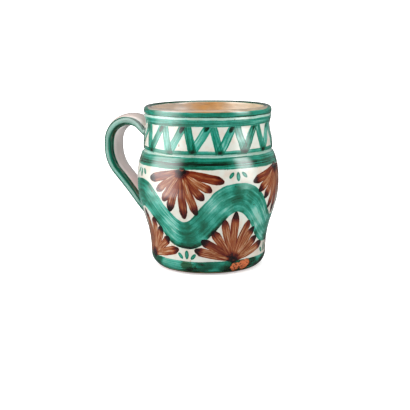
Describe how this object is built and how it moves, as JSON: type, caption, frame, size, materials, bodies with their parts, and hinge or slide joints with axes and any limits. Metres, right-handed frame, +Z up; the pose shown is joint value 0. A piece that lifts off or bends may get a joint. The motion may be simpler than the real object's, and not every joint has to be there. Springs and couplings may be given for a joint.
{
  "type": "jarrito clay mug",
  "caption": "Round-bellied wheel-thrown clay mug with a tall collar, a rolled lip and a pulled strap handle, painted and glazed inside and out.",
  "frame": {"origin": "centre of the foot, on the axis of the pot, in the plane that the mug stands on", "axes": "+Z up along the axis of the pot, the handle towards -X, +Y completes a right-handed frame"},
  "size_m": [0.1079, 0.0828, 0.0935],
  "materials": {
    "red_clay": "bare fired red clay, matt and slightly gritty",
    "handle_clay": "bare fired red clay under the handle's glaze",
    "slip": "fired clay slip in the joints",
    "painted_glaze": "glossy warm white glaze painted with green bands and brown brushwork",
    "honey_glaze": "glossy cream to honey liner glaze over red clay",
    "green_glaze": "glossy glaze, green along the strap's edges and greyish white on its faces"
  },
  "bodies": {
    "root": {"body": "red_clay", "handle": "handle_clay", "upper_slip_joint": "slip", "lower_slip_joint": "slip", "outer_glaze": "painted_glaze", "liner_glaze": "honey_glaze", "handle_glaze": "green_glaze"}
  },
  "joints": []
}
